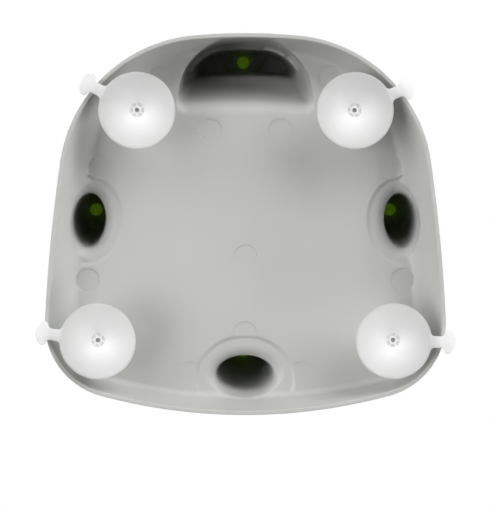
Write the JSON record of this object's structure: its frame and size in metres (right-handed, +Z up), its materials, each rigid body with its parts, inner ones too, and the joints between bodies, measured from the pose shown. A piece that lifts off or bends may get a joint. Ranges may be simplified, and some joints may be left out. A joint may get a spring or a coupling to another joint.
{
  "type": "baby bath seat",
  "caption": "Baby bath seat: moulded base on suction cups with a back rest, hollow posts and a round safety ring on top.",
  "frame": {"origin": "on the floor that the suction cups stand on, below the middle of the safety ring", "axes": "+Z up, +Y towards the back rest, +X towards the seated child's left"},
  "size_m": [0.3663, 0.3331, 0.215],
  "materials": {
    "moulded_grey": "satin",
    "moulded_green": "satin",
    "soft_white": "matte"
  },
  "bodies": {
    "root": {"seat_base": "moulded_grey", "ring": "moulded_green", "suction_cup_back_left": "soft_white", "suction_cup_back_right": "soft_white", "suction_cup_front_left": "soft_white", "suction_cup_front_right": "soft_white"}
  },
  "joints": []
}
